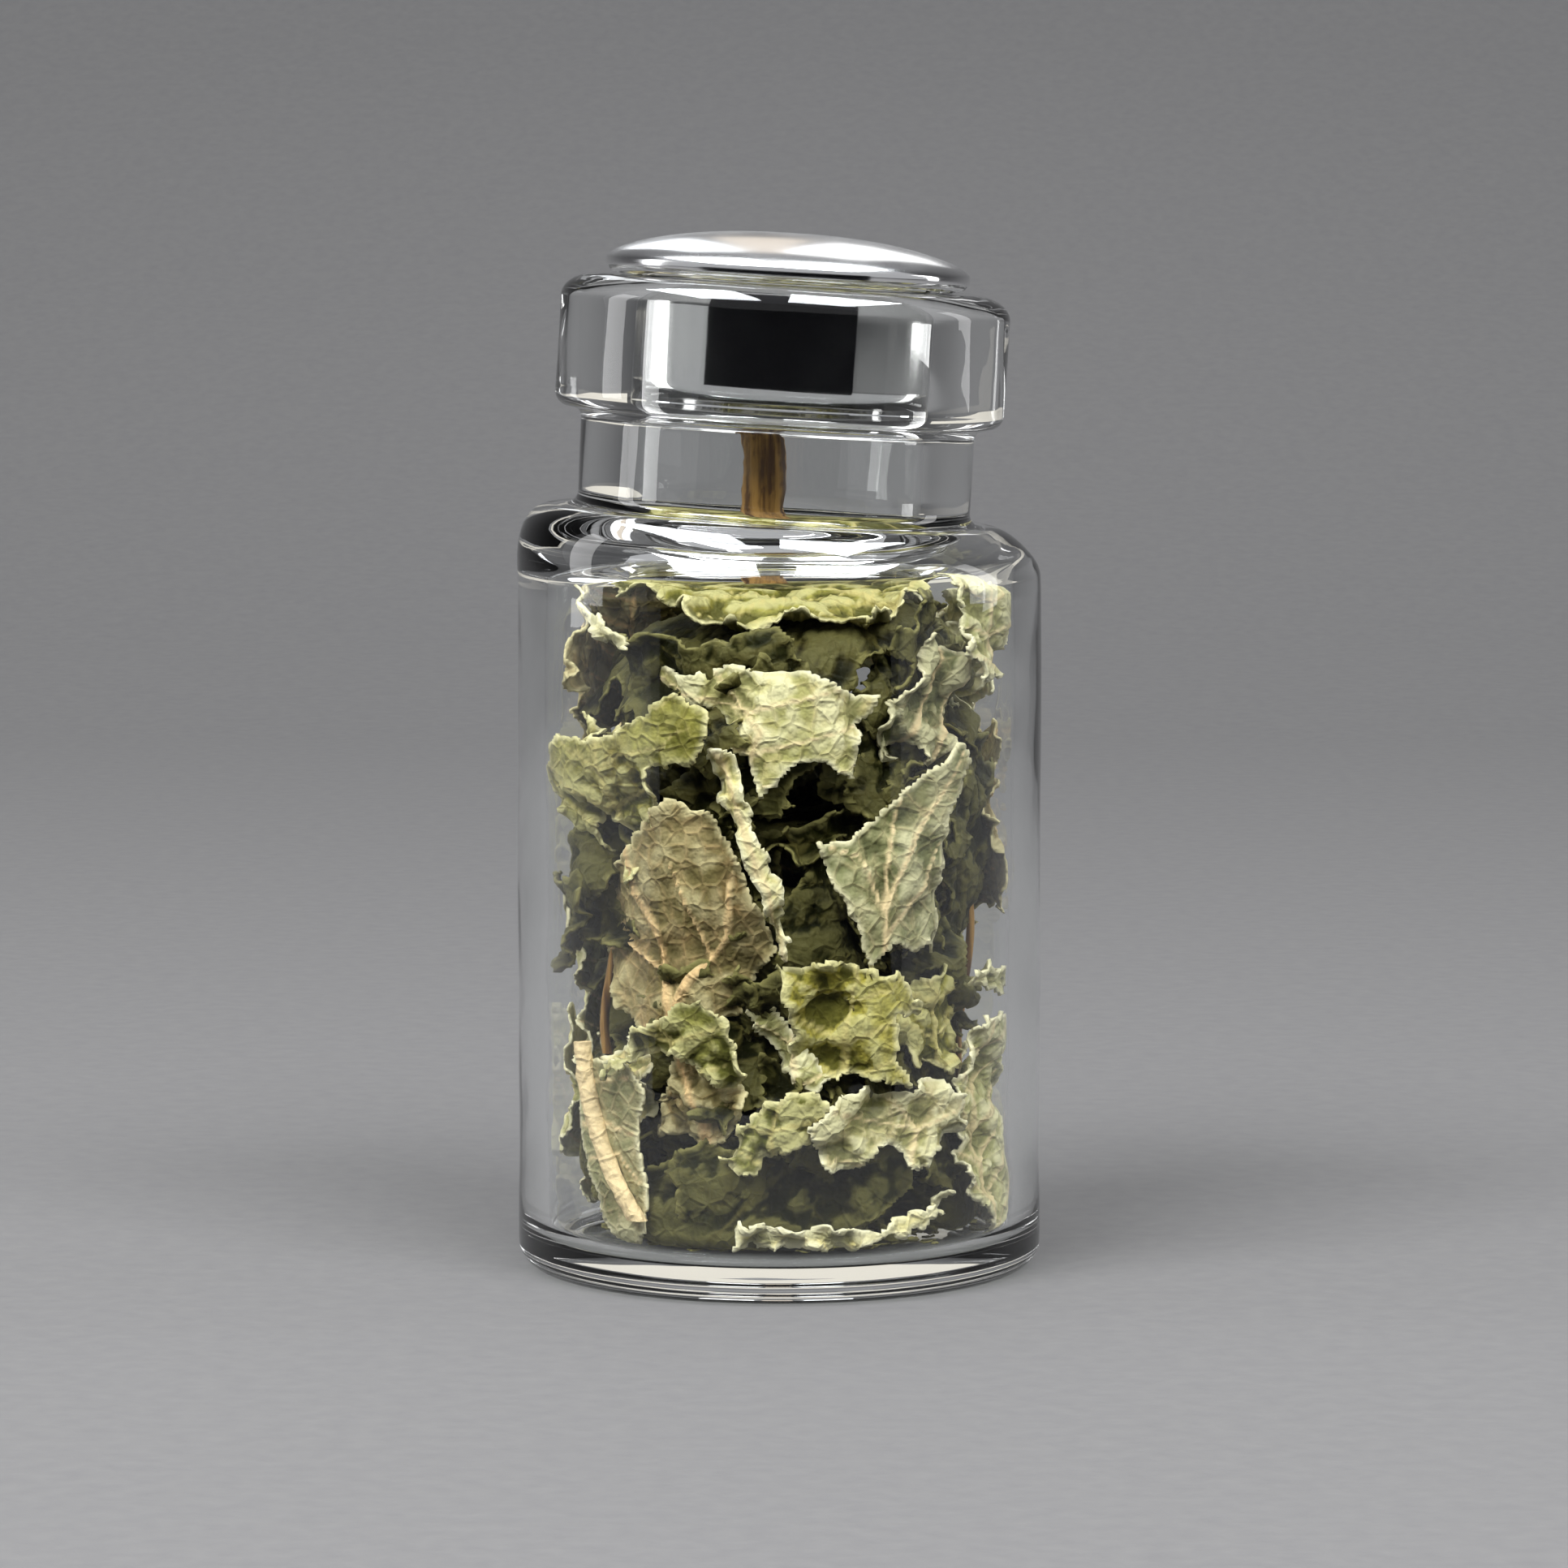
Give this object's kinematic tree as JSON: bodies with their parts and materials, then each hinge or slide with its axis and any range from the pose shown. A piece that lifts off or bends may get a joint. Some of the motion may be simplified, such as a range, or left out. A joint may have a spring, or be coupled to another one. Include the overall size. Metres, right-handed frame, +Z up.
{
  "type": "stoppered glass vial",
  "caption": "Small clear glass vial with a leaning neck and thick rolled mouth, closed by a domed polished metal stopper and filled with dried leaf flakes and stalks.",
  "frame": {"origin": "centre of the base, on the plane it stands on", "axes": "+Z up along the body's axis; -Y is the side seen from the front; the neck leans towards +X"},
  "size_m": [0.022, 0.022, 0.0435],
  "materials": {
    "clear_glass": "clear, fire polished",
    "polished_metal": "mirror polished",
    "clear_sleeve": "clear soft plastic, smooth",
    "dry_stalk": "dry, fibrous",
    "pale_leaf": "dry, crinkled leaf",
    "olive_leaf": "dry, crinkled leaf",
    "grey_leaf": "dry, crinkled leaf",
    "brown_leaf": "dry, crinkled leaf",
    "dark_leaf": "dry, crinkled leaf"
  },
  "bodies": {
    "vial": {"glass_vial": "clear_glass", "flake_behind_left_high": "dark_leaf", "flake_behind_left_low": "dark_leaf", "flake_behind_left_lower_middle": "dark_leaf", "flake_behind_left_upper_middle": "dark_leaf", "flake_behind_right_high": "dark_leaf", "flake_behind_right_low": "dark_leaf", "flake_behind_right_lower_middle": "dark_leaf", "flake_behind_right_upper_middle": "dark_leaf", "flake_bottom_dark": "dark_leaf", "flake_bottom_ribbon": "pale_leaf", "flake_brown": "brown_leaf", "flake_centre_strip": "pale_leaf", "flake_cream": "pale_leaf", "flake_dark_left_point": "dark_leaf", "flake_far_left_crumb": "olive_leaf", "flake_left_arch": "olive_leaf", "flake_left_high": "brown_leaf", "flake_left_low": "pale_leaf", "flake_left_lower_middle": "grey_leaf", "flake_left_pale": "pale_leaf", "flake_left_upper_middle": "olive_leaf", "flake_olive_arch": "olive_leaf", "flake_olive_round": "olive_leaf", "flake_pale_strip": "pale_leaf", "flake_rear_high": "olive_leaf", "flake_rear_low": "olive_leaf", "flake_rear_lower_middle": "pale_leaf", "flake_rear_upper_middle": "grey_leaf", "flake_right_curl": "pale_leaf", "flake_right_dark_column": "dark_leaf", "flake_right_high": "pale_leaf", "flake_right_low": "grey_leaf", "flake_right_lower_middle": "olive_leaf", "flake_right_olive": "olive_leaf", "flake_right_pale": "pale_leaf", "flake_right_striated": "grey_leaf", "flake_right_upper_middle": "brown_leaf", "flake_star": "pale_leaf", "flake_stemmed": "grey_leaf", "flake_top_left_spike": "pale_leaf", "flake_top_right_upright": "pale_leaf", "flake_veined_left": "brown_leaf", "flake_veined_right": "grey_leaf", "flake_yellow_crumple": "olive_leaf", "leaf_broad_fold": "dark_leaf", "leaf_dark_underleaf": "dark_leaf", "leaf_floor_crumb": "dark_leaf", "leaf_floor_fold": "dark_leaf", "leaf_lower_wave": "dark_leaf", "leaf_middle_fold": "dark_leaf", "leaf_top_crumple": "olive_leaf", "leaf_upper_fold": "dark_leaf", "leaf_upper_wave": "dark_leaf", "stalk_front": "dry_stalk", "stalk_in_neck": "dry_stalk", "stalk_rear": "dry_stalk", "stalk_right": "dry_stalk"},
    "sleeve": {"seal_sleeve": "clear_sleeve"},
    "stopper": {"metal_stopper": "polished_metal"}
  },
  "joints": [
    {"name": "stopper_lift", "type": "slide", "parent": "vial", "child": "sleeve", "axis": [0.061, 0, 0.9981], "range_m": [0, 0.016]},
    {"name": "stopper_twist", "type": "hinge", "parent": "sleeve", "child": "stopper", "pos_m": [-0.00025, 0, 0.0317], "axis": [0.061, 0, 0.9981], "continuous": true}
  ]
}
